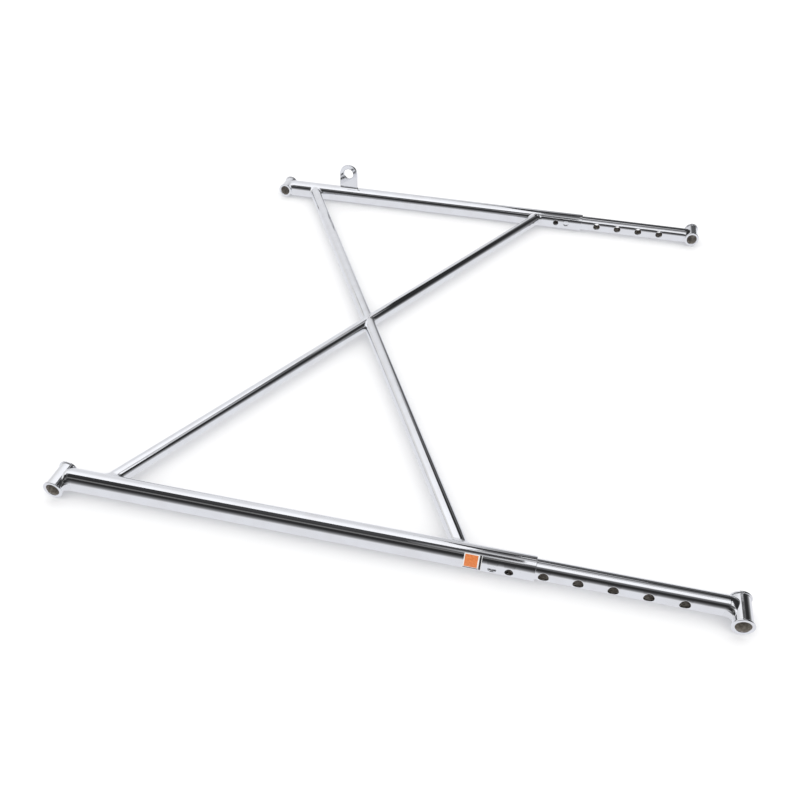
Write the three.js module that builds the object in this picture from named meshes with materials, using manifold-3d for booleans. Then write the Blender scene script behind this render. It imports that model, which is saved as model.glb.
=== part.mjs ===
// X-braced chassis strut frame: two parallel rails, each a fixed tube with a sliding inner tube,
// tied together by a welded X of thinner tubes and ended by four cross bungs.
//
// Units are millimetres and +Z is up. The rails run along X with their sliding ends towards +X,
// and the frame lies flat on the lowest line of its rails.

import * as THREE from 'three';
import { mergeVertices } from 'three/addons/utils/BufferGeometryUtils.js';
import Module from 'manifold-3d';

const wasm = await Module();
wasm.setup();

// ---------- driving dimensions ----------

const inch = 25.4;

const railSpacing = 23 * inch; // between the two rail axes
const railLength = 390.5; // fixed bung's axis to the rail's open end
const railRadius = 0.375 * inch;
const railPinHoles = [1.25 * inch, 0.75 * inch]; // back from the open end
const railHoleRadius = 3.2;

const sliderRadius = 0.3125 * inch;
const sliderWall = 0.065 * inch;
const slidingClearance = 0.07; // between the slider and the rail's bore, on the radius
const railWall = railRadius - sliderRadius - slidingClearance;
const holePitch = 1 * inch;
const holeCount = 6;
const sliderHoleRadius = 3.95;
const firstHole = 39.5; // sliding bung's axis to the nearest pin hole
const sliderTail = 1 * inch; // beyond the last pin hole

const braceRadius = 0.25 * inch;
const braceWall = 1.65;
const braceNear = 37.4; // along the rail from the fixed bung to a brace's rear joint
const braceFar = 336.3; // and to a brace's front joint

const bungLength = 27;
const bungRadius = 7.15;
const bungBoreRadius = 5.55;
const rimRadius = 8.15;
const rimWidth = 1.6;
const rimChamfer = 0.35;
const rimClearance = 0.15; // between a tube's inner side and the rim beside it

const tabWidth = 22.8; // its top is a half circle, and its hole is concentric with that
const tabHeight = 29.8; // above the top of the rail
const tabThickness = 3.2;
const tabHoleRadius = 6.2;
const tabRootThickness = 2.2; // of its foot, inside the bead that fuses it to the rail
const tabBeadReach = 1.8; // how far that bead stands out from the tab
const tabBeadHeight = 2; // and how far up the tab it runs
const tabPlace = 85.4; // along the left rail from the fixed bung

const labelLength = 13.7;
const labelThickness = 0.3;
const labelPlace = 46.8; // label's centre, back from the rail's open end
const labelCentreAngle = THREE.MathUtils.degToRad(20); // above the outward horizontal
const labelSweep = THREE.MathUtils.degToRad(79);

const gap = 0.3; // kept between a piece and the neighbour that it is cut by
const weldLeg = 4.2; // how far a bead runs along the tube it closes
const weldHeight = 2.2; // how far it stands off that tube at its root
const weldMiddle = 1.04; // part way along it
const weldMiddleShare = 0.4; // the share of its leg where that is
const weldToe = 0.5; // and at its toe
const bungRootSetback = 0.8; // from a bung's room to the end of a bead's root
const braceRootSetback = 1.2; // the same, at a brace's joint
const tubeSetback = 1.6; // from a bung's room to the end of the tube welded to it

const tubeStart = bungRadius + gap + tubeSetback; // a tube's end, from its bung's axis
const clear = 5; // how far a cutting solid runs on past what it cuts

const roundSegments = 48;
const smallSegments = 32;
const holeSegments = 20;

// ---------- materials ----------

function chrome(name) {
  return new THREE.MeshStandardMaterial({ name, color: 0xdfe2e6, roughness: 0.08, metalness: 1 });
}

function weldMetal(name) {
  return new THREE.MeshStandardMaterial({ name, color: 0xcdd0d5, roughness: 0.2, metalness: 1 });
}

function labelFilm(name) {
  return new THREE.MeshStandardMaterial({ name, color: 0xe8772e, roughness: 0.45, metalness: 0 });
}

// ---------- solids ----------

// A closed three.js geometry as a manifold solid, turned outside out if its faces wind inwards.
function toSolid(geometry) {
  const bare = geometry.clone();
  bare.deleteAttribute('normal');
  bare.deleteAttribute('uv');
  const merged = mergeVertices(bare, 1e-4);
  const vertProperties = new Float32Array(merged.getAttribute('position').array);
  const triVerts = new Uint32Array(merged.getIndex().array);
  if (signedVolume(vertProperties, triVerts) < 0) {
    for (let i = 0; i < triVerts.length; i += 3) {
      const second = triVerts[i + 1];
      triVerts[i + 1] = triVerts[i + 2];
      triVerts[i + 2] = second;
    }
  }
  return new wasm.Manifold(new wasm.Mesh({ numProp: 3, vertProperties, triVerts }));
}

function signedVolume(points, triangles) {
  const corners = [new THREE.Vector3(), new THREE.Vector3(), new THREE.Vector3()];
  let sum = 0;
  for (let i = 0; i < triangles.length; i += 3) {
    corners.forEach((corner, k) => corner.fromArray(points, 3 * triangles[i + k]));
    sum += corners[0].dot(corners[1].clone().cross(corners[2])) / 6;
  }
  return sum;
}

function toGeometry(solid) {
  const mesh = solid.getMesh();
  const geometry = new THREE.BufferGeometry();
  geometry.setAttribute('position', new THREE.BufferAttribute(new Float32Array(mesh.vertProperties), 3));
  geometry.setIndex(new THREE.BufferAttribute(new Uint32Array(mesh.triVerts), 1));
  geometry.computeVertexNormals();
  return geometry;
}

// A profile of [radius, distance] points, turned about the line from one point towards another.
// flatten scales the turned shape in Z.
function turned(profile, from, to, segments, flatten = 1) {
  const points = [...profile, profile[0]].map(([radius, along]) => new THREE.Vector2(radius, along));
  const geometry = new THREE.LatheGeometry(points, segments);
  geometry.scale(1, 1, flatten);
  const direction = to.clone().sub(from).normalize();
  const turn = new THREE.Quaternion().setFromUnitVectors(new THREE.Vector3(0, 1, 0), direction);
  geometry.applyQuaternion(turn);
  geometry.translate(from.x, from.y, from.z);
  return toSolid(geometry);
}

function hollowTube(from, to, outer, inner, segments = roundSegments) {
  const length = from.distanceTo(to);
  return turned([[inner, 0], [outer, 0], [outer, length], [inner, length]], from, to, segments);
}

function solidRod(from, to, radius, segments = smallSegments) {
  const length = from.distanceTo(to);
  const geometry = new THREE.CylinderGeometry(radius, radius, length, segments);
  geometry.translate(0, length / 2, 0);
  const direction = to.clone().sub(from).normalize();
  const turn = new THREE.Quaternion().setFromUnitVectors(new THREE.Vector3(0, 1, 0), direction);
  geometry.applyQuaternion(turn);
  geometry.translate(from.x, from.y, from.z);
  return toSolid(geometry);
}

// A weld bead round a tube: widest at its root, on the neighbour, and fading out along the tube.
// rise is how far it stands off the tube above and below, where there may be no corner to fill.
function beadSolid(from, to, tubeRadius, rootAt, rise) {
  const wide = tubeRadius + gap + weldHeight;
  const toe = tubeRadius + gap + weldToe;
  const middle = tubeRadius + gap + weldMiddle;
  const profile = [
    [0, 0],
    [wide, 0],
    [wide, rootAt],
    [middle, rootAt + weldLeg * weldMiddleShare],
    [toe, rootAt + weldLeg],
    [0, rootAt + weldLeg],
  ];
  const flatten = (tubeRadius + gap + rise) / wide;
  return turned(profile, from, to, smallSegments, flatten);
}

function point(x, y, z = 0) {
  return new THREE.Vector3(x, y, z);
}

// ---------- the two sides ----------

// The frame's own origin is on the rails' plane, midway between them, at the fixed bungs.
// outward is the side's direction along Y. pinnedHole is the rail hole the slider is set to.
const sides = [
  { name: 'right', outward: -1, pinnedHole: railPinHoles[1] },
  { name: 'left', outward: 1, pinnedHole: railPinHoles[0] },
];

for (const side of sides) {
  side.y = side.outward * railSpacing / 2;
  side.lastHole = railLength - side.pinnedHole;
  side.slidingBung = side.lastHole + (holeCount - 1) * holePitch + firstHole;
}

// A bung's rims stand clear of the tube's inner side, and the rest of it reaches outwards.
function bungEnds(side, x, tubeRadius) {
  const innerEnd = tubeRadius + rimClearance + rimWidth;
  const inner = point(x, side.y - side.outward * innerEnd);
  const outer = point(x, side.y + side.outward * (bungLength - innerEnd));
  return { inner, outer };
}

function bungSolid(ends) {
  const profile = [
    [bungBoreRadius + rimChamfer, 0],
    [rimRadius - rimChamfer, 0],
    [rimRadius, rimChamfer],
    [rimRadius, rimWidth],
    [bungRadius, rimWidth],
    [bungRadius, bungLength - rimWidth],
    [rimRadius, bungLength - rimWidth],
    [rimRadius, bungLength - rimChamfer],
    [rimRadius - rimChamfer, bungLength],
    [bungBoreRadius + rimChamfer, bungLength],
    [bungBoreRadius, bungLength - rimChamfer],
    [bungBoreRadius, rimChamfer],
  ];
  return turned(profile, ends.inner, ends.outer, smallSegments);
}

// The room that a bung takes out of the bead next to it.
function bungRoom(ends) {
  const body = solidRod(ends.inner, ends.outer, bungRadius + gap);
  const direction = ends.outer.clone().sub(ends.inner).normalize();
  const rimStart = ends.inner.clone().addScaledVector(direction, -clear);
  const rimEnd = ends.inner.clone().addScaledVector(direction, rimWidth + gap);
  return body.add(solidRod(rimStart, rimEnd, rimRadius + gap));
}

function drillPins(solid, side, places, radius) {
  let drilled = solid;
  const reach = railRadius + clear;
  for (const x of places) {
    const drill = solidRod(point(x, side.y - reach), point(x, side.y + reach), radius, holeSegments);
    drilled = drilled.subtract(drill);
  }
  return drilled;
}

function railSolid(side) {
  const tube = hollowTube(
    point(tubeStart, side.y),
    point(railLength, side.y),
    railRadius,
    railRadius - railWall,
  );
  const places = railPinHoles.map((back) => railLength - back);
  return drillPins(tube, side, places, railHoleRadius);
}

function sliderSolid(side) {
  const tube = hollowTube(
    point(side.lastHole - sliderTail, side.y),
    point(side.slidingBung - tubeStart, side.y),
    sliderRadius,
    sliderRadius - sliderWall,
  );
  const places = Array.from({ length: holeCount }, (_, hole) => side.lastHole + hole * holePitch);
  return drillPins(tube, side, places, sliderHoleRadius);
}

// The bead that closes a tube onto its bung. towards is +1 or -1 along X, from bung to tube.
// It fills the corner on the bung's two sides and is level with the tube above and below.
function bungBead(side, x, towards, tubeRadius, wall, ends) {
  const beadStart = 2.5; // inside the bung
  const beadEnd = tubeStart + weldLeg + clear;
  const from = point(x + towards * beadStart, side.y);
  const to = point(x + towards * beadEnd, side.y);
  const tubeEnd = point(x + towards * (tubeStart - gap), side.y);
  const rootAt = bungRadius + gap + bungRootSetback - beadStart;
  const justUnder = 0.02;
  return beadSolid(from, to, tubeRadius, rootAt, -gap - justUnder)
    .subtract(solidRod(point(x, side.y), to, tubeRadius - wall))
    .subtract(solidRod(tubeEnd, to, tubeRadius + gap, roundSegments))
    .subtract(bungRoom(ends));
}

// ---------- the X brace ----------

const [right, left] = sides;

const longBrace = {
  start: point(braceNear, left.y),
  end: point(braceFar, right.y),
};
const shortBrace = {
  start: point(braceNear, right.y),
  end: point(braceFar, left.y),
};
const crossing = longBrace.start.clone().lerp(longBrace.end, 0.5);

const railRoom = sides.map((side) =>
  solidRod(point(-clear, side.y), point(railLength + clear, side.y), railRadius + gap, roundSegments));
const longBraceRoom = solidRod(longBrace.start, longBrace.end, braceRadius + gap, roundSegments);

function braceTube(from, to, rooms) {
  let solid = hollowTube(from, to, braceRadius, braceRadius - braceWall, smallSegments);
  for (const room of rooms) {
    solid = solid.subtract(room);
  }
  return solid;
}

// The bead where a brace lands on a neighbouring tube whose axis passes through from.
function braceBead(from, to, neighbourRadius, room, rise) {
  const rootAt = neighbourRadius + gap + braceRootSetback;
  return beadSolid(from, to, braceRadius, rootAt, rise)
    .subtract(solidRod(from, to, braceRadius + gap))
    .subtract(room);
}

// ---------- tab and label ----------

const tabHoleHeight = railRadius + tabHeight - tabWidth / 2;
const tabFoot = railRadius - 2; // inside the rail's room

function tabOutline(grow) {
  const half = tabWidth / 2 + grow;
  const shape = new THREE.Shape();
  shape.moveTo(-half, tabFoot);
  shape.lineTo(half, tabFoot);
  shape.lineTo(half, tabHoleHeight);
  shape.absarc(0, tabHoleHeight, half, 0, Math.PI, false);
  shape.closePath();
  return shape;
}

// Stands an outline drawn in X and Z on edge, centred in Y on the tab's own plane.
function standing(shape, thickness) {
  const geometry = new THREE.ExtrudeGeometry(shape, {
    depth: thickness,
    bevelEnabled: false,
    curveSegments: 24,
  });
  geometry.translate(0, 0, -thickness / 2);
  geometry.rotateX(Math.PI / 2);
  geometry.translate(tabPlace, left.y, 0);
  return toSolid(geometry);
}

// A block round the tab's foot, up to a height above the top of the rail.
function footBlock(width, thickness, height) {
  const block = new THREE.BoxGeometry(width, thickness, 2 * height);
  block.translate(tabPlace, left.y, railRadius);
  return toSolid(block);
}

// The tab's foot is thinner where the bead takes its place, so its flat faces end at the bead's toe.
function tabSolid() {
  const shape = tabOutline(0);
  const hole = new THREE.Path();
  hole.absarc(0, tabHoleHeight, tabHoleRadius, 0, 2 * Math.PI, true);
  shape.holes.push(hole);
  const height = tabBeadHeight + gap;
  const wide = tabWidth + 2 * clear;
  const relief = footBlock(wide, tabThickness + 2 * clear, height)
    .subtract(footBlock(wide + clear, tabRootThickness, height + clear));
  return standing(shape, tabThickness).subtract(railRoom[1]).subtract(relief);
}

function tabBead() {
  const width = tabWidth + 2 * tabBeadReach;
  const thickness = tabThickness + 2 * tabBeadReach;
  return footBlock(width, thickness, tabBeadHeight)
    .subtract(standing(tabOutline(gap), tabRootThickness + 2 * gap))
    .subtract(railRoom[1]);
}

// A thin curved film on the rail's outward upper face.
function labelSolid(side) {
  const inner = railRadius + gap;
  const outer = inner + labelThickness;
  const low = labelCentreAngle - labelSweep / 2;
  const high = labelCentreAngle + labelSweep / 2;
  const shape = new THREE.Shape();
  shape.absarc(0, 0, outer, low, high, false);
  shape.absarc(0, 0, inner, high, low, true);
  shape.closePath();
  const geometry = new THREE.ExtrudeGeometry(shape, {
    depth: labelLength,
    bevelEnabled: false,
    curveSegments: 12,
  });
  // The outline's own X points outwards and its Y up, so its depth runs along the rail.
  const placed = new THREE.Matrix4().makeBasis(
    point(0, side.outward),
    point(0, 0, 1),
    point(side.outward, 0),
  );
  geometry.applyMatrix4(placed);
  const start = railLength - labelPlace - side.outward * labelLength / 2;
  geometry.translate(start, side.y, 0);
  return toSolid(geometry);
}

// ---------- the object ----------

const frame = new THREE.Group();

function add(name, solid, material) {
  const mesh = new THREE.Mesh(toGeometry(solid), material(name));
  mesh.name = name;
  frame.add(mesh);
}

for (const side of sides) {
  const fixedEnds = bungEnds(side, 0, railRadius);
  const slidingEnds = bungEnds(side, side.slidingBung, sliderRadius);
  add(`${side.name}_rail_tube`, railSolid(side), chrome);
  add(`${side.name}_slider_tube`, sliderSolid(side), chrome);
  add(`${side.name}_fixed_bung`, bungSolid(fixedEnds), chrome);
  add(`${side.name}_sliding_bung`, bungSolid(slidingEnds), chrome);
  add(
    `${side.name}_fixed_bung_weld`,
    bungBead(side, 0, 1, railRadius, railWall, fixedEnds),
    weldMetal,
  );
  add(
    `${side.name}_sliding_bung_weld`,
    bungBead(side, side.slidingBung, -1, sliderRadius, sliderWall, slidingEnds),
    weldMetal,
  );
}

add('long_brace', braceTube(longBrace.start, longBrace.end, railRoom), chrome);
add('right_half_brace', braceTube(shortBrace.start, crossing, [railRoom[0], longBraceRoom]), chrome);
add('left_half_brace', braceTube(shortBrace.end, crossing, [railRoom[1], longBraceRoom]), chrome);

const railJoints = [
  { name: 'long_brace_left_weld', at: longBrace.start, room: railRoom[1] },
  { name: 'long_brace_right_weld', at: longBrace.end, room: railRoom[0] },
  { name: 'right_half_brace_weld', at: shortBrace.start, room: railRoom[0] },
  { name: 'left_half_brace_weld', at: shortBrace.end, room: railRoom[1] },
];
for (const { name, at, room } of railJoints) {
  add(name, braceBead(at, crossing, railRadius, room, weldHeight), weldMetal);
}

// Both halves are as thick as the long brace, so their beads hardly rise above it.
const crossingRise = 0.6;
const crossingJoints = [
  { name: 'right_crossing_weld', towards: shortBrace.start },
  { name: 'left_crossing_weld', towards: shortBrace.end },
];
for (const { name, towards } of crossingJoints) {
  add(name, braceBead(crossing, towards, braceRadius, longBraceRoom, crossingRise), weldMetal);
}

add('mounting_tab', tabSolid(), chrome);
add('mounting_tab_weld', tabBead(), weldMetal);
add('rail_label', labelSolid(right), labelFilm);

// The object's origin is under the middle of its box, on the surface that the rails lie on.
const longestReach = Math.max(...sides.map((side) => side.slidingBung));
frame.position.set(-longestReach / 2, 0, railRadius);

export default frame;
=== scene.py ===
"""Looks for the chromed kart strut frame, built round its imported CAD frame.

Lengths are metres in the row frame: +X runs along the rails towards their sliding ends, +Y from
the right rail to the left one, and +Z is up. Each CAD solid is stood for by a smooth piece with
rounded edges, round holes and filleted weld beads.
"""

import math

import bmesh
import bpy
from mathutils import Matrix, Vector


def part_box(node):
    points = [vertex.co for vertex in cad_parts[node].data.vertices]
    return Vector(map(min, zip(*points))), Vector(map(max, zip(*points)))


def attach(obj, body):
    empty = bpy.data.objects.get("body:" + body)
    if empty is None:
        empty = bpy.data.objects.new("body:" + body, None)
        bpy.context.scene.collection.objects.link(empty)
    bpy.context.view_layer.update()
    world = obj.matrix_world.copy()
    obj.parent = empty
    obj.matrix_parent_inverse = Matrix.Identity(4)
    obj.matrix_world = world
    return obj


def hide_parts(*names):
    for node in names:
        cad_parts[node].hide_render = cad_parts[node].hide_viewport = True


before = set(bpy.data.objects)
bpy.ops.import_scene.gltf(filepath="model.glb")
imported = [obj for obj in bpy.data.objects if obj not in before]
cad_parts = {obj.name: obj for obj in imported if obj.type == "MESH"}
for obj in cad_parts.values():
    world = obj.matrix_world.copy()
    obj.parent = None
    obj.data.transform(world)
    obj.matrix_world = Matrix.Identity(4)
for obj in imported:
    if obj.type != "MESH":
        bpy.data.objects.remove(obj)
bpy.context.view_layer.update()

MM = 0.001
INCH = 0.0254

# ---------- places and sizes, some read from the frame and the rest given ---


def centre_of(node):
    low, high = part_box(node)
    return (low + high) / 2


def size_of(node):
    low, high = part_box(node)
    return high - low


SIDES = ("right", "left")
OUTWARD = {"right": -1, "left": 1}
RAIL_RADIUS = size_of("right_rail_tube").z / 2
SLIDER_RADIUS = size_of("right_slider_tube").z / 2
BRACE_RADIUS = size_of("long_brace").z / 2
AXIS_Z = centre_of("right_rail_tube").z
RAIL_Y = {side: centre_of(f"{side}_rail_tube").y for side in SIDES}
OPEN_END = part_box("right_rail_tube")[1].x
FIXED_BUNG_X = centre_of("right_fixed_bung").x
SLIDING_BUNG_X = {side: centre_of(f"{side}_sliding_bung").x for side in SIDES}
SLIDER_START = {side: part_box(f"{side}_slider_tube")[0].x for side in SIDES}

RAIL_BORE = SLIDER_RADIUS + 0.07 * MM
SLIDER_BORE = SLIDER_RADIUS - 0.065 * INCH
RAIL_HOLES = [OPEN_END - 1.25 * INCH, OPEN_END - 0.75 * INCH]
RAIL_HOLE_RADIUS = 3.2 * MM
SLIDER_HOLE_RADIUS = 3.95 * MM
SLIDER_HOLE_COUNT = 6
SLIDER_TAIL = 1 * INCH

BUNG_RADIUS = 7.15 * MM
BUNG_BORE = 5.55 * MM
RIM_RADIUS = size_of("right_fixed_bung").z / 2
RIM_WIDTH = 1.6 * MM

BRACE_NEAR = 37.4 * MM  # from the fixed bungs' line to where the braces meet the rails
BRACE_FAR = 336.3 * MM
IN_WALL = RAIL_RADIUS - 0.7 * MM  # between the rail's bore and its outside

FRAME_BODY = "frame"
TUBE_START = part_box("right_rail_tube")[0].x - FIXED_BUNG_X  # from a bung's centre to its tube's end

TUBE_EDGE = 0.35 * MM  # rounding of a tube's cut end
END_BAND = 0.6 * MM  # narrow band of faces behind that rounding
HOLE_EDGE = 0.3 * MM  # rounding of a pin hole
HOLE_MARGIN = 1.3 * MM  # from a pin hole to the edge of its square of wall

SHARP = math.radians(38)  # edges that turn more than this are left crisp
WELD = 1e-7  # points closer than this are joined
ROUND = 64  # points round a tube
QUARTER = ROUND // 4
FINE_ROUND = 96  # points round a bung or a brace's bead


def centre_line(side, x):
    return Vector((x, RAIL_Y[side], AXIS_Z))


# ---------- meshes ----------


class Skin:
    """Faces gathered as sheets of points, welded into one closed mesh at the end."""

    def __init__(self):
        self.points = []
        self.faces = []
        self.paints = []

    def sheet(self, rows, wrap=False, paint=0):
        """Quads between neighbouring rows of points; wrap joins each row's end to its start."""
        start = len(self.points)
        width = len(rows[0])
        for row in rows:
            self.points.extend(tuple(p) for p in row)
        across = width if wrap else width - 1
        for i in range(len(rows) - 1):
            for j in range(across):
                a = start + i * width + j
                b = start + i * width + (j + 1) % width
                self.faces.append((a, b, b + width, a + width))
                self.paints.append(paint)

    def fan(self, ring, tip, paint=0):
        """Triangles from a ring of points to one tip."""
        start = len(self.points)
        self.points.extend(tuple(p) for p in ring)
        self.points.append(tuple(tip))
        count = len(ring)
        for j in range(count):
            self.faces.append((start + j, start + (j + 1) % count, start + count))
            self.paints.append(paint)

    def build(self, name, materials):
        """Joins the points, turns the faces outward and puts the piece in the scene."""
        mesh = bpy.data.meshes.new(name)
        mesh.from_pydata(self.points, [], self.faces)
        mesh.polygons.foreach_set("material_index", self.paints)
        for material in materials:
            mesh.materials.append(material)
        work = bmesh.new()
        work.from_mesh(mesh)
        bmesh.ops.remove_doubles(work, verts=work.verts, dist=WELD)
        bmesh.ops.dissolve_degenerate(work, edges=work.edges, dist=WELD / 10)
        bmesh.ops.recalc_face_normals(work, faces=work.faces)
        for face in work.faces:
            face.smooth = True
        work.to_mesh(mesh)
        work.free()
        mesh.set_sharp_from_angle(angle=SHARP)
        piece = bpy.data.objects.new(name, mesh)
        bpy.context.scene.collection.objects.link(piece)
        return piece


def finish_piece(piece, body, node):
    """The piece rides its body and stands for its CAD node, which it hides."""
    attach(piece, body)
    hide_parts(node)


def turns_of(count):
    return [2 * math.pi * i / count for i in range(count)]


def fillet(size, count=4):
    """A quarter-round edge's steps, as pairs: what is left along each of its two sides."""
    turns = [math.pi / 2 * i / count for i in range(count + 1)]
    return [(size * (1 - math.sin(turn)), size * (1 - math.cos(turn))) for turn in turns]


def ring_angles():
    """Angles round a tube from +Y, starting at the lower corner of its +Y quarter."""
    return [turn - math.pi / 4 for turn in turns_of(ROUND)]


def on_tube(side, x, radius, angle):
    y = RAIL_Y[side] + radius * math.cos(angle)
    z = AXIS_Z + radius * math.sin(angle)
    return (x, y, z)


def tube_ring(side, x, radius):
    return [on_tube(side, x, radius, angle) for angle in ring_angles()]


def hole_patch(skin, side, x_hole, half, radius, hole_radius, facing, inward, paint):
    """The square of tube wall round one pin hole: flat rings in to the hole, then its rounded edge.

    facing is +1 or -1 for the hole on the +Y or -Y wall. inward is +1 where the wall lies inside
    this radius and -1 where it lies outside, as on the bore. Returns the edge's last ring.
    """
    eighth = math.pi / 4
    steps = [2 * i / QUARTER - 1 for i in range(QUARTER)]
    square = [(half, eighth * step) for step in steps]
    square += [(-half * step, eighth) for step in steps]
    square += [(-half, -eighth * step) for step in steps]
    square += [(half * step, -eighth) for step in steps]
    rim = hole_radius + HOLE_EDGE

    def flat_ring(share):
        row = []
        for turn, (square_x, square_angle) in zip(ring_angles(), square):
            round_angle = math.asin(rim * math.sin(turn) / radius)
            x = share * square_x + (1 - share) * rim * math.cos(turn)
            angle = share * square_angle + (1 - share) * round_angle
            turned = angle if facing > 0 else math.pi - angle
            row.append(on_tube(side, x_hole + x, radius, turned))
        return row

    def edge_ring(reach, depth):
        row = []
        for turn in ring_angles():
            z = reach * math.sin(turn)
            y = facing * (math.sqrt(radius**2 - z**2) - inward * depth)
            row.append((x_hole + reach * math.cos(turn), RAIL_Y[side] + y, AXIS_Z + z))
        return row

    skin.sheet([flat_ring(share) for share in (1.0, 0.62, 0.3, 0.1, 0.0)], wrap=True, paint=paint)
    rows = [edge_ring(hole_radius + out, depth) for out, depth in fillet(HOLE_EDGE)]
    skin.sheet(rows, wrap=True, paint=paint)
    return rows[-1]


def drilled_tube(name, side, x_start, x_end, radius, bore, holes, hole_radius, materials):
    """A tube with rounded ends and pin holes through both walls. materials are outside, bore."""
    skin = Skin()
    half = hole_radius + HOLE_MARGIN
    angles = ring_angles() + [ring_angles()[0] + 2 * math.pi]
    stops = [x_start + TUBE_EDGE, x_start + TUBE_EDGE + END_BAND]
    for x_hole in holes:
        stops += [x_hole - half + 2 * half * i / QUARTER for i in range(QUARTER + 1)]
    stops += [x_end - TUBE_EDGE - END_BAND, x_end - TUBE_EDGE]
    for wall_radius, paint in ((radius, 0), (bore, 1)):
        for left, right in zip(stops, stops[1:]):
            middle = (left + right) / 2
            drilled = any(abs(middle - x_hole) < half for x_hole in holes)
            for quarter in (1, 3) if drilled else (0, 1, 2, 3):
                part = angles[quarter * QUARTER : (quarter + 1) * QUARTER + 1]
                rows = [[on_tube(side, x, wall_radius, angle) for angle in part] for x in (left, right)]
                skin.sheet(rows, paint=paint)
    for x_hole in holes:
        for facing in (1, -1):
            outer = hole_patch(skin, side, x_hole, half, radius, hole_radius, facing, 1, 0)
            inner = hole_patch(skin, side, x_hole, half, bore, hole_radius, facing, -1, 1)
            middle = [Vector(a).lerp(Vector(b), 0.55) for a, b in zip(outer, inner)]
            skin.sheet([outer, middle, inner], wrap=True, paint=0)
    for x, way in ((x_start, 1), (x_end, -1)):
        edge = fillet(TUBE_EDGE)
        rows = [tube_ring(side, x + way * along, radius - less) for along, less in edge]
        rows += [tube_ring(side, x + way * along, bore + less) for along, less in reversed(edge)]
        skin.sheet(rows, wrap=True, paint=0)
    return skin.build(name, materials)


def turned_piece(name, start, profile, materials, paints):
    """A closed profile of (radius, distance) turned about a line along Y. paints gives each span's slot."""
    skin = Skin()

    def ring(radius, along):
        turns = turns_of(FINE_ROUND)
        return [start + Vector((radius * math.cos(turn), along, radius * math.sin(turn))) for turn in turns]

    closed = profile + [profile[0]]
    for first, second, paint in zip(closed, closed[1:], paints):
        skin.sheet([ring(*first), ring(*second)], wrap=True, paint=paint)
    return skin.build(name, materials)


# ---------- materials ----------


def node_material(name):
    """A new material, its node tree and its shader."""
    material = bpy.data.materials.new(name)
    material.use_nodes = True
    tree = material.node_tree
    return material, tree, tree.nodes["Principled BSDF"]


def noise(tree, scale, detail):
    coordinates = tree.nodes.new("ShaderNodeTexCoord")
    texture = tree.nodes.new("ShaderNodeTexNoise")
    texture.inputs["Scale"].default_value = scale
    texture.inputs["Detail"].default_value = detail
    tree.links.new(coordinates.outputs["Object"], texture.inputs["Vector"])
    return texture.outputs["Fac"]


def ramp(tree, source, stops):
    """Colours at places along a value from 0 to 1."""
    node = tree.nodes.new("ShaderNodeValToRGB")
    elements = node.color_ramp.elements
    while len(elements) < len(stops):
        elements.new(0.5)
    for element, (place, color) in zip(elements, stops):
        element.position = place
        element.color = (*color, 1)
    tree.links.new(source, node.inputs["Fac"])
    return node.outputs["Color"]


def spread(tree, source, low, high):
    """Noise, which stays mostly between 0.3 and 0.7, stretched to a range."""
    node = tree.nodes.new("ShaderNodeMapRange")
    node.inputs["From Min"].default_value = 0.3
    node.inputs["From Max"].default_value = 0.7
    node.inputs["To Min"].default_value = low
    node.inputs["To Max"].default_value = high
    tree.links.new(source, node.inputs["Value"])
    return node.outputs["Result"]


def bump(tree, shader, source, strength, distance):
    node = tree.nodes.new("ShaderNodeBump")
    node.inputs["Strength"].default_value = strength
    node.inputs["Distance"].default_value = distance
    tree.links.new(source, node.inputs["Height"])
    tree.links.new(node.outputs["Normal"], shader.inputs["Normal"])


def plated(name, bright, roughness, ripple, ripple_scale):
    """Chrome plate: bright, with faint clouding and the slight waviness of polished tube."""
    material, tree, shader = node_material(name)
    shader.inputs["Metallic"].default_value = 1.0
    clouding = noise(tree, 60, 5)
    cool = (bright * 0.97, bright * 0.98, bright)
    warm = (bright * 0.93, bright * 0.93, bright * 0.945)
    tree.links.new(ramp(tree, clouding, [(0.35, warm), (0.6, cool)]), shader.inputs["Base Color"])
    polish = noise(tree, 220, 6)
    tree.links.new(spread(tree, polish, *roughness), shader.inputs["Roughness"])
    bump(tree, shader, noise(tree, ripple_scale, 3), 1.0, ripple)
    return material


def bare_bore(name):
    """Unplated steel inside a tube: grey-brown, dull, blotched and finely pitted."""
    material, tree, shader = node_material(name)
    shader.inputs["Metallic"].default_value = 0.3
    blotch = noise(tree, 400, 6)
    stops = [(0.3, (0.2, 0.175, 0.15)), (0.52, (0.34, 0.31, 0.275)), (0.72, (0.54, 0.51, 0.47))]
    tree.links.new(ramp(tree, blotch, stops), shader.inputs["Base Color"])
    tree.links.new(spread(tree, noise(tree, 700, 4), 0.38, 0.6), shader.inputs["Roughness"])
    bump(tree, shader, noise(tree, 900, 5), 0.4, 0.08 * MM)
    return material


def film(name, low, high, roughness):
    """Printed vinyl film: a near-flat colour with the slight mottle of ink."""
    material, tree, shader = node_material(name)
    mottle = noise(tree, 700, 4)
    tree.links.new(ramp(tree, mottle, [(0.35, low), (0.65, high)]), shader.inputs["Base Color"])
    sheen = noise(tree, 300, 4)
    tree.links.new(spread(tree, sheen, roughness, roughness + 0.12), shader.inputs["Roughness"])
    bump(tree, shader, noise(tree, 1200, 3), 0.15, 0.02 * MM)
    return material


RAIL_CHROME = plated("rail_chrome", 0.9, (0.03, 0.07), 0.012 * MM, 160)
SLIDER_CHROME = plated("slider_chrome", 0.9, (0.03, 0.07), 0.010 * MM, 170)
BRACE_CHROME = plated("brace_chrome", 0.9, (0.03, 0.08), 0.012 * MM, 150)
BUNG_CHROME = plated("bung_chrome", 0.9, (0.04, 0.09), 0.010 * MM, 200)
PLATE_CHROME = plated("plate_chrome", 0.9, (0.05, 0.11), 0.015 * MM, 120)
WELD_CHROME = plated("weld_chrome", 0.88, (0.06, 0.14), 0.04 * MM, 500)
BARE_BORE = bare_bore("bare_bore")

# ---------- tubes and bungs ----------


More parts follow.
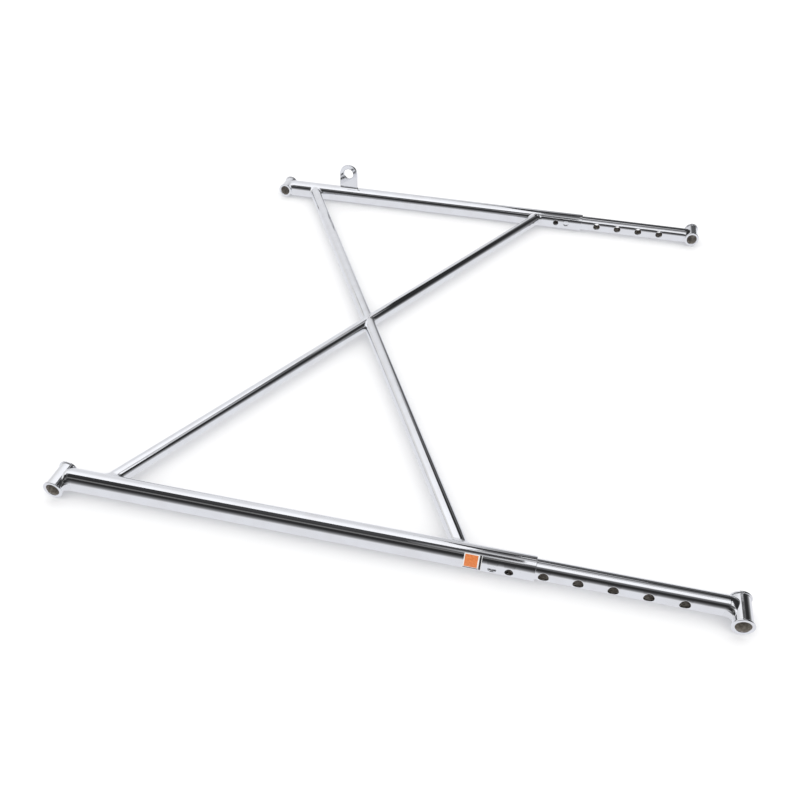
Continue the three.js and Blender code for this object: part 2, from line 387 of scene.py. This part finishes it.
def make_tubes(side):
    rail = drilled_tube(
        f"{side}_rail",
        side,
        FIXED_BUNG_X + TUBE_START,
        OPEN_END,
        RAIL_RADIUS,
        RAIL_BORE,
        RAIL_HOLES,
        RAIL_HOLE_RADIUS,
        [RAIL_CHROME, BARE_BORE],
    )
    finish_piece(rail, FRAME_BODY, f"{side}_rail_tube")
    start = SLIDER_START[side]
    holes = [start + SLIDER_TAIL + i * INCH for i in range(SLIDER_HOLE_COUNT)]
    slider = drilled_tube(
        f"{side}_slider",
        side,
        start,
        SLIDING_BUNG_X[side] - TUBE_START,
        SLIDER_RADIUS,
        SLIDER_BORE,
        holes,
        SLIDER_HOLE_RADIUS,
        [SLIDER_CHROME, BARE_BORE],
    )
    finish_piece(slider, f"{side}_slider", f"{side}_slider_tube")


def arc(centre_radius, centre_along, size, start, end, count=5):
    """Points of a profile's rounded corner, between two angles in degrees."""
    points = []
    for i in range(count + 1):
        turn = math.radians(start + (end - start) * i / count)
        points.append((centre_radius + size * math.cos(turn), centre_along + size * math.sin(turn)))
    return points


def bung_profile(length):
    """A bung's section: a bore, a rolled rim at each end and a plain body."""
    lip = 0.5 * MM  # rounding of the rim
    root = 0.4 * MM  # hollow between rim and body
    mouth = 0.75 * MM  # rounding of the bore's mouth
    half = [(BUNG_BORE, length / 2), (BUNG_BORE, 1.6 * MM), (BUNG_BORE, 1.1 * MM)]
    half += arc(BUNG_BORE + mouth, mouth, mouth, 180, 270)
    half += arc(RIM_RADIUS - lip, lip, lip, 270, 360)
    half += arc(RIM_RADIUS - lip, RIM_WIDTH - lip, lip, 0, 90)
    half += arc(BUNG_RADIUS + root, RIM_WIDTH + root, root, 270, 180)
    half += [(BUNG_RADIUS, RIM_WIDTH + root + 0.5 * MM), (BUNG_RADIUS, length / 2)]
    mirrored = [(radius, length - along) for radius, along in reversed(half)]
    return half + mirrored[1:-1]


def make_bung(name, node, body):
    low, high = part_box(node)
    centre = centre_of(node)
    profile = bung_profile(high.y - low.y)
    radii = [radius for radius, _ in profile]
    bare_limit = BUNG_BORE + 0.1 * MM
    paints = [int(max(pair) < bare_limit) for pair in zip(radii, radii[1:] + radii[:1])]
    start = Vector((centre.x, low.y, centre.z))
    bung = turned_piece(name, start, profile, [BUNG_CHROME, BARE_BORE], paints)
    finish_piece(bung, body, node)


for tube_side in SIDES:
    make_tubes(tube_side)
    make_bung(f"{tube_side}_rear_bung", f"{tube_side}_fixed_bung", FRAME_BODY)
    make_bung(f"{tube_side}_front_bung", f"{tube_side}_sliding_bung", f"{tube_side}_slider")

# ---------- weld beads ----------


def curve_between(first, corner, last, count=8):
    """A concave fillet's points, leaving one surface and landing on another."""
    points = []
    for i in range(count + 1):
        t = i / count
        points.append(first * (1 - t) ** 2 + corner * 2 * t * (1 - t) + last * t**2)
    return points


def ripple(turn, count, share, height):
    """How far a bead's scale stands proud: nothing at its edges, most in its middle."""
    return height * math.sin(math.pi * share) * math.sin(turn * count) ** 2


def bead(name, sections, scales, height=0.1 * MM):
    """A closed weld bead from one section round it at each step: the fillet's points and a point behind."""
    skin = Skin()
    rows = []
    for turn, (points, back) in zip(turns_of(len(sections)), sections):
        row = []
        for k, point in enumerate(points):
            share = k / (len(points) - 1)
            outward = (point - back).normalized()
            row.append(point + outward * ripple(turn, scales / 2, share, height))
        row.append(back)
        rows.append(row)
    skin.sheet(rows + [rows[0]], wrap=True)
    return skin.build(name, [WELD_CHROME])


def landing(start, way, across, turn, main_radius, reach):
    """Where a line beside a branch tube's axis, at turn and reach, meets the main tube along X.

    start is on the main tube's axis, way runs along the branch and across is level beside it.
    """
    offset = across * (reach * math.cos(turn)) + Vector((0, 0, reach * math.sin(turn)))
    limit = main_radius * 0.995
    height = max(-limit, min(limit, offset.z))
    depth = math.sqrt(main_radius**2 - height**2)
    along = (math.copysign(depth, way.y) - offset.y) / way.y
    point = start + offset + way * along
    point.z = start.z + height
    return point


def rail_bead(name, start, towards, node):
    """The bead where a brace lands on a rail."""
    way = (towards - start).normalized()
    across = Vector((way.y, -way.x, 0))
    leg = 3.6 * MM
    sections = []
    for turn in turns_of(FINE_ROUND):
        corner = landing(start, way, across, turn, RAIL_RADIUS, BRACE_RADIUS)
        on_brace = corner + way * leg
        on_rail = landing(start, way, across, turn, RAIL_RADIUS, BRACE_RADIUS + leg * 0.75)
        back = landing(start, way, across, turn, RAIL_RADIUS - 0.4 * MM, BRACE_RADIUS - 0.3 * MM)
        sections.append((curve_between(on_brace, corner, on_rail), back))
    piece = bead(name, sections, 26)
    finish_piece(piece, FRAME_BODY, node)


def brace_tube(name, start, end, end_wall, node):
    """A tube between two axis points whose ends follow the wall of the rail they are cut to fit.

    The rail's bore stays clear for its slider. With end_wall 0 the far end is cut square.
    """
    way = (end - start).normalized()
    across = Vector((way.y, -way.x, 0))

    def point(origin, heading, wall, turn, reach):
        if wall:
            return landing(origin, heading, across, turn, wall, reach)
        return origin + (across * math.cos(turn) + Vector((0, 0, math.sin(turn)))) * reach

    def ring(origin, heading, wall, share=1.0):
        return [point(origin, heading, wall, turn, BRACE_RADIUS * share) for turn in turns_of(ROUND)]

    first = ring(start, way, IN_WALL)
    last = ring(end, -way, end_wall)
    cap_shares = (0.4, 0.75)
    rows = [ring(start, way, IN_WALL, share) for share in cap_shares]
    for share in (0, 0.02, 0.98, 1):
        rows.append([a.lerp(b, share) for a, b in zip(first, last)])
    rows += [ring(end, -way, end_wall, share) for share in reversed(cap_shares)]
    skin = Skin()
    skin.sheet(rows, wrap=True)
    skin.fan(rows[0], point(start, way, IN_WALL, 0, 0))
    skin.fan(rows[-1], point(end, -way, end_wall, 0, 0))
    piece = skin.build(name, [BRACE_CHROME])
    finish_piece(piece, FRAME_BODY, node)


LONG_START = centre_line("left", FIXED_BUNG_X + BRACE_NEAR)
LONG_END = centre_line("right", FIXED_BUNG_X + BRACE_FAR)
SHORT_RIGHT = centre_line("right", FIXED_BUNG_X + BRACE_NEAR)
SHORT_LEFT = centre_line("left", FIXED_BUNG_X + BRACE_FAR)
CROSSING = (LONG_START + LONG_END) / 2

brace_tube("brace_long", LONG_START, LONG_END, IN_WALL, "long_brace")
brace_tube("brace_half_right", SHORT_RIGHT, CROSSING, 0, "right_half_brace")
brace_tube("brace_half_left", SHORT_LEFT, CROSSING, 0, "left_half_brace")
rail_bead("bead_long_left", LONG_START, CROSSING, "long_brace_left_weld")
rail_bead("bead_long_right", LONG_END, CROSSING, "long_brace_right_weld")
rail_bead("bead_half_right", SHORT_RIGHT, CROSSING, "right_half_brace_weld")
rail_bead("bead_half_left", SHORT_LEFT, CROSSING, "left_half_brace_weld")


def crossing_bead(name, far_end, node):
    """The bead where a half brace lands on the long one, thin above and below where both are level."""
    way = (far_end - CROSSING).normalized()
    main = (LONG_END - LONG_START).normalized()
    across = Vector((way.y, -way.x, 0))
    main_side = Vector((main.y, -main.x, 0))
    if main_side.dot(way) < 0:
        main_side = -main_side

    def land(turn, reach, main_radius):
        offset = across * (reach * math.cos(turn))
        limit = main_radius * 0.999
        height = max(-limit, min(limit, reach * math.sin(turn)))
        depth = math.sqrt(main_radius**2 - height**2)
        along = (depth - offset.dot(main_side)) / way.dot(main_side)
        return CROSSING + offset + way * along + Vector((0, 0, height))

    inner = BRACE_RADIUS - 0.5 * MM
    sections = []
    for turn in turns_of(FINE_ROUND):
        leg = (0.8 + 3.0 * abs(math.cos(turn))) * MM
        lift = Vector((0, 0, 0.35 * MM * math.sin(turn)))
        corner = land(turn, BRACE_RADIUS, BRACE_RADIUS)
        on_half = corner + way * leg
        on_long = land(turn, BRACE_RADIUS + leg * 0.8, BRACE_RADIUS)
        back = land(turn, inner, inner)
        sections.append((curve_between(on_half, corner + lift, on_long), back))
    piece = bead(name, sections, 22)
    finish_piece(piece, FRAME_BODY, node)


crossing_bead("bead_crossing_right", SHORT_RIGHT, "right_crossing_weld")
crossing_bead("bead_crossing_left", SHORT_LEFT, "left_crossing_weld")


def bung_bead(name, side, x_bung, towards, tube_radius, body, node):
    """The bead from a tube's end round onto its bung, deep where the bung runs on outwards."""
    seat = 6.5 * MM  # half height that the bead covers on the bung
    leg = 4.6 * MM
    sections = []
    for turn in turns_of(128):
        cosine = math.cos(turn)
        sine = math.sin(turn)
        outside = max(0.0, cosine * OUTWARD[side])
        reach = 0.05 * MM + leg * outside**0.8
        bung_x = math.sqrt(BUNG_RADIUS**2 - (seat * sine) ** 2)
        corner_x = bung_x + 0.5 * MM + 1.6 * MM * abs(sine)
        tube_x = BUNG_RADIUS + 1.2 * MM + leg * (0.45 + 0.55 * outside)
        section = (
            (tube_x, tube_radius * cosine, tube_radius * sine),
            (corner_x, tube_radius * cosine, tube_radius * sine),
            (bung_x, (tube_radius + reach) * cosine, seat * sine),
            (bung_x + 1.0 * MM, (tube_radius - 1.2 * MM) * cosine, (seat - 1.0 * MM) * sine),
        )
        origin = centre_line(side, x_bung)
        placed = [origin + Vector((towards * x, y, z)) for x, y, z in section]
        sections.append((curve_between(*placed[:3]), placed[3]))
    piece = bead(name, sections, 30)
    finish_piece(piece, body, node)


for bead_side in SIDES:
    bung_bead(
        f"bead_{bead_side}_rear_bung",
        bead_side,
        FIXED_BUNG_X,
        1,
        RAIL_RADIUS,
        FRAME_BODY,
        f"{bead_side}_fixed_bung_weld",
    )
    bung_bead(
        f"bead_{bead_side}_front_bung",
        bead_side,
        SLIDING_BUNG_X[bead_side],
        -1,
        SLIDER_RADIUS,
        f"{bead_side}_slider",
        f"{bead_side}_sliding_bung_weld",
    )

# ---------- tab ----------

TAB = centre_of("mounting_tab")
TAB_SIZE = size_of("mounting_tab")
TAB_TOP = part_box("mounting_tab")[1].z
TAB_HALF = TAB_SIZE.x / 2
TAB_HOLE_Z = TAB_TOP - TAB_HALF
TAB_HOLE_RADIUS = 6.2 * MM
TAB_FOOT = AXIS_Z + IN_WALL


def tab_outline(inset):
    """The tab's outline less an inset, seen along Y from its hole's centre, and each point's angle."""
    half = TAB_HALF - inset
    foot = TAB_FOOT - TAB_HOLE_Z
    corner = math.atan2(foot, half)
    turns = [math.pi * i / 48 for i in range(49)]
    turns += [math.pi - corner * i / 8 for i in range(1, 9)]
    turns += [math.pi - corner + (math.pi + 2 * corner) * i / 16 for i in range(1, 17)]
    turns += [corner - corner * i / 8 for i in range(1, 8)]
    points = []
    for turn in turns:
        cosine, sine = math.cos(turn), math.sin(turn)
        if sine >= -1e-9:
            points.append((half * cosine, half * sine))
        elif half * abs(sine) <= -foot * abs(cosine) + 1e-12:
            points.append((math.copysign(half, cosine), half * sine / abs(cosine)))
        else:
            points.append((foot * cosine / sine, foot))
    return turns, points


def make_tab():
    edge = 0.45 * MM
    flat = edge + 0.3 * MM  # where the face is flat again behind its rounded edges
    half = TAB_SIZE.y / 2
    turns, _ = tab_outline(0)

    def outline(inset, y):
        _, points = tab_outline(inset)
        return [(TAB.x + x, TAB.y + y, TAB_HOLE_Z + z) for x, z in points]

    def hole(more, y):
        reach = TAB_HOLE_RADIUS + more
        return [(TAB.x + reach * math.cos(t), TAB.y + y, TAB_HOLE_Z + reach * math.sin(t)) for t in turns]

    def face_rows(facing):
        """From inside the hole, over its edge and the flat, to the outline."""
        rows = [hole(more, facing * (half - depth)) for depth, more in fillet(edge)]
        rows.append(hole(flat, facing * half))
        rows.append(outline(flat, facing * half))
        rows += [outline(inset, facing * (half - depth)) for inset, depth in fillet(edge)]
        return rows

    skin = Skin()
    rows = face_rows(-1) + face_rows(1)[::-1]
    skin.sheet(rows + [rows[0]], wrap=True)
    piece = skin.build("tab", [PLATE_CHROME])
    finish_piece(piece, FRAME_BODY, "mounting_tab")


def make_tab_bead():
    """The bead round the tab's foot, over the rail's top."""
    leg = 2.3 * MM
    sink = 0.4 * MM
    corner_size = 0.6 * MM
    flat_x = TAB_HALF - 0.3 * MM - corner_size
    flat_y = TAB_SIZE.y / 2 - corner_size
    loop = []
    for quarter, (x_way, y_way) in enumerate(((1, 1), (-1, 1), (-1, -1), (1, -1))):
        for i in range(7):
            turn = math.pi / 2 * (quarter + i / 6)
            normal = Vector((math.cos(turn), math.sin(turn), 0))
            base = Vector((x_way * flat_x, y_way * flat_y, 0)) + normal * corner_size
            loop.append((base, normal))
    dense = []
    for (start, normal), (end, next_normal) in zip(loop, loop[1:] + loop[:1]):
        pieces = max(1, int((end - start).length / (0.7 * MM)))
        for i in range(pieces):
            share = i / pieces
            dense.append((start.lerp(end, share), normal.lerp(next_normal, share).normalized()))

    def on_rail(point, depth=0.0):
        z = math.sqrt((RAIL_RADIUS - depth) ** 2 - point.y**2)
        return Vector((TAB.x + point.x, TAB.y + point.y, AXIS_Z + z))

    sections = []
    for base, normal in dense:
        corner = on_rail(base)
        on_tab = corner + Vector((0, 0, leg))
        out = on_rail(base + normal * leg)
        back = on_rail(base - normal * sink, sink)
        sections.append((curve_between(on_tab, corner, out), back))
    piece = bead("bead_tab", sections, 24, 0.05 * MM)
    finish_piece(piece, FRAME_BODY, "mounting_tab_weld")


make_tab()
make_tab_bead()

# ---------- label ----------

LABEL_ORANGE = film("label_orange", (0.58, 0.15, 0.03), (0.7, 0.21, 0.05), 0.3)
LABEL_WHITE = film("label_white", (0.66, 0.65, 0.64), (0.74, 0.73, 0.72), 0.3)
LABEL_BLACK = film("label_black", (0.012, 0.012, 0.014), (0.03, 0.03, 0.033), 0.3)


def make_label():
    """A wrapped film: a plain orange panel with a pale border, a dark foot and a dark strip beside it."""
    low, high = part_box("rail_label")
    top_angle = math.radians(199.5)
    sweep = math.radians(79)
    across, up = 36, 40
    inner = RAIL_RADIUS + 0.03 * MM
    outer = RAIL_RADIUS + 0.16 * MM
    orange, pale, dark = 0, 1, 2

    def paint_at(u, v):
        if u > 0.84:
            return dark if 0.86 < u < 0.98 else pale
        if v < 0.09:
            return dark
        return orange if 0.05 < u < 0.78 and 0.14 < v < 0.95 else pale

    def place(u, v, radius):
        x = low.x + (high.x - low.x) * u
        return on_tube("right", x, radius, top_angle - sweep * v)

    skin = Skin()
    us = [i / across for i in range(across + 1)]
    vs = [k / up for k in range(up + 1)]
    for u0, u1 in zip(us, us[1:]):
        for v0, v1 in zip(vs, vs[1:]):
            rows = [[place(u, v, outer) for u in (u0, u1)] for v in (v0, v1)]
            skin.sheet(rows, paint=paint_at((u0 + u1) / 2, (v0 + v1) / 2))
    skin.sheet([[place(u, v, inner) for u in us] for v in vs], paint=pale)
    for u in (0, 1):
        skin.sheet([[place(u, v, radius) for radius in (inner, outer)] for v in vs], paint=pale)
    for v in (0, 1):
        skin.sheet([[place(u, v, radius) for radius in (inner, outer)] for u in us], paint=pale)
    piece = skin.build("label", [LABEL_ORANGE, LABEL_WHITE, LABEL_BLACK])
    finish_piece(piece, FRAME_BODY, "rail_label")


make_label()

# ---------- floor, light and camera ----------


def flat_mesh(name, corners):
    mesh = bpy.data.meshes.new(name)
    mesh.from_pydata(corners, [], [tuple(range(len(corners)))])
    return mesh


def square(reach, z):
    return [(-reach, -reach, z), (reach, -reach, z), (reach, reach, z), (-reach, reach, z)]


def make_floor():
    """Pale paper just under the frame, which the metal doesn't see."""
    mesh = flat_mesh("floor", square(4.0, -0.2 * MM))
    material, tree, shader = node_material("floor_paper")
    stops = [(0.4, (0.87, 0.87, 0.875)), (0.6, (0.885, 0.885, 0.89))]
    tree.links.new(ramp(tree, noise(tree, 2, 2), stops), shader.inputs["Base Color"])
    shader.inputs["Roughness"].default_value = 0.95
    shader.inputs["Specular IOR Level"].default_value = 0
    mesh.materials.append(material)
    floor = bpy.data.objects.new("floor", mesh)
    floor.visible_glossy = False
    bpy.context.scene.collection.objects.link(floor)


def make_world():
    """Even white light for the paper; the metal sees the cards and the room instead."""
    world = bpy.data.worlds.new("studio")
    bpy.context.scene.world = world
    world.use_nodes = True
    background = world.node_tree.nodes["Background"]
    background.inputs["Color"].default_value = (1, 1, 1, 1)
    background.inputs["Strength"].default_value = 1.3


def lamp_material(name):
    """A light material: its node tree and its emission node."""
    material = bpy.data.materials.new(name)
    material.use_nodes = True
    tree = material.node_tree
    tree.nodes.clear()
    emission = tree.nodes.new("ShaderNodeEmission")
    output = tree.nodes.new("ShaderNodeOutputMaterial")
    tree.links.new(emission.outputs["Emission"], output.inputs["Surface"])
    return material, tree, emission


def even_glow(name, shade, tint=(1, 1, 1)):
    material, _, emission = lamp_material(name)
    emission.inputs["Color"].default_value = (*tint, 1)
    emission.inputs["Strength"].default_value = shade
    return material


def fading_glow(name, axis, stops):
    """A cool glow that changes along one axis of the object's own box, from 0 to 1."""
    material, tree, emission = lamp_material(name)
    coordinates = tree.nodes.new("ShaderNodeTexCoord")
    parts = tree.nodes.new("ShaderNodeSeparateXYZ")
    tree.links.new(coordinates.outputs["Generated"], parts.inputs["Vector"])
    cool = (0.96, 0.967, 1)
    shades = [(place, tuple(value * part for part in cool)) for place, value in stops]
    tree.links.new(ramp(tree, parts.outputs[axis], shades), emission.inputs["Color"])
    return material


def stand(name, mesh, material):
    """Puts up something that only the metal's reflections see."""
    mesh.materials.append(material)
    thing = bpy.data.objects.new(name, mesh)
    thing.visible_camera = False
    thing.visible_diffuse = False
    thing.visible_shadow = False
    bpy.context.scene.collection.objects.link(thing)


def card(name, corners, material):
    stand(name, flat_mesh(name, corners), material)


def make_room():
    """A dim room round the table, paler near the table's level, where the paper's glow reaches it."""
    mesh = bpy.data.meshes.new("room")
    work = bmesh.new()
    bmesh.ops.create_uvsphere(work, u_segments=48, v_segments=48, radius=5)
    for face in work.faces:
        face.smooth = True
    work.to_mesh(mesh)
    work.free()
    stops = [(0.5, 0.74), (0.55, 0.5), (0.6, 0.26), (0.68, 0.11), (0.75, 0.03), (0.9, 0.03), (1.0, 0.07)]
    stand("room", mesh, fading_glow("room_glow", "Z", stops))


def make_lights():
    """Soft panels overhead, the biggest behind on the left, with a pale wall behind and on the left."""
    height = 0.9
    left, back, wall_top, wall_right = -2.2, 1.6, 1.18, 0.9

    def overhead(name, outline, axis, stops, z=height):
        card(name, [(x, y, z) for x, y in outline], fading_glow(f"{name}_glow", axis, stops))

    overhead(
        "panel_back",
        [(left, -0.14), (0.02, -0.14), (0.06, 0.3), (-0.01, 0.6), (-0.06, 1.0), (-0.35, 1.3), (left, 1.3)],
        "Y",
        [(0.0, 1.15), (0.3, 1.12), (0.45, 1.0), (0.7, 0.88), (1.0, 0.84)],
    )
    overhead(
        "panel_spill",
        [(0.02, -0.12), (0.55, -0.12), (0.55, 0.6), (0.0, 0.6), (0.06, 0.3)],
        "Y",
        [(0.0, 0.7), (0.3, 0.5), (0.5, 0.16), (1.0, 0.1)],
    )
    overhead(
        "panel_far",
        [(0.14, 0.45), (0.42, 0.45), (0.42, 0.66), (0.14, 0.66)],
        "X",
        [(0.0, 0.8), (0.45, 0.6), (1.0, 0.42)],
        height - 2 * MM,
    )
    overhead(
        "panel_edge",
        [(-0.08, -0.68), (0.14, -0.68), (0.14, -0.45), (-0.08, -0.45)],
        "X",
        [(0.0, 0.12), (0.5, 0.4), (1.0, 0.75)],
    )
    overhead(
        "panel_right",
        [(0.14, -1.0), (0.62, -1.0), (0.62, -0.13), (0.14, -0.13)],
        "Y",
        [(0.0, 0.08), (0.3, 0.16), (0.46, 0.3), (0.52, 1.1), (1.0, 1.1)],
    )
    wall = [(left, back, 0), (wall_right, back, 0), (wall_right, back, wall_top), (left, back, wall_top)]
    stops = [(0.0, 0.8), (0.5, 0.86), (0.66, 0.74), (0.71, 0.62), (0.742, 0.35), (0.78, 0.12), (1.0, 0.1)]
    card("wall_back", wall, fading_glow("wall_back_glow", "X", stops))
    side = [(left, -0.8, 0), (left, back, 0), (left, back, height), (left, -0.8, height)]
    card("wall_left", side, even_glow("wall_left_glow", 0.78))
    ceiling = [(-3, -2.5, 2.8), (1.5, -2.5, 2.8), (1.5, -1.7, 2.8), (-3, -1.7, 2.8)]
    card("ceiling", ceiling, even_glow("ceiling_glow", 0.17))


def make_table_glow():
    """The paper as the metal sees it, a little darker and cooler than it looks from the camera."""
    card("table_seen", square(4.9, -0.1 * MM), even_glow("table_glow", 0.87, (0.945, 0.955, 1)))


def make_camera():
    """A camera at the photograph's angle, placed from the right rail's fixed bung."""
    place = Vector((0.36238, -0.40472, 0.46262))
    yaw = math.radians(12.8458)
    pitch = math.radians(-43.0931)
    roll = math.radians(1.2442)
    focal = 1.00195  # in widths of the picture
    forward = Vector((-math.sin(yaw) * math.cos(pitch), math.cos(yaw) * math.cos(pitch), math.sin(pitch)))
    level = Vector((math.cos(yaw), math.sin(yaw), 0))
    up = level.cross(forward)
    right = level * math.cos(roll) + up * math.sin(roll)
    over = up * math.cos(roll) - level * math.sin(roll)
    data = bpy.data.cameras.new("camera")
    data.sensor_width = 36
    data.lens = focal * data.sensor_width
    data.shift_x = 0.0238875
    data.shift_y = 0.085275
    data.clip_start = 0.01
    data.clip_end = 50
    camera = bpy.data.objects.new("camera", data)
    turn = Matrix((right, over, -forward)).transposed().to_4x4()
    origin = centre_line("right", FIXED_BUNG_X)
    camera.matrix_world = Matrix.Translation(origin + place) @ turn
    bpy.context.scene.collection.objects.link(camera)
    bpy.context.scene.camera = camera


make_floor()
make_world()
make_room()
make_lights()
make_table_glow()
make_camera()
bpy.context.scene.view_settings.view_transform = "Standard"
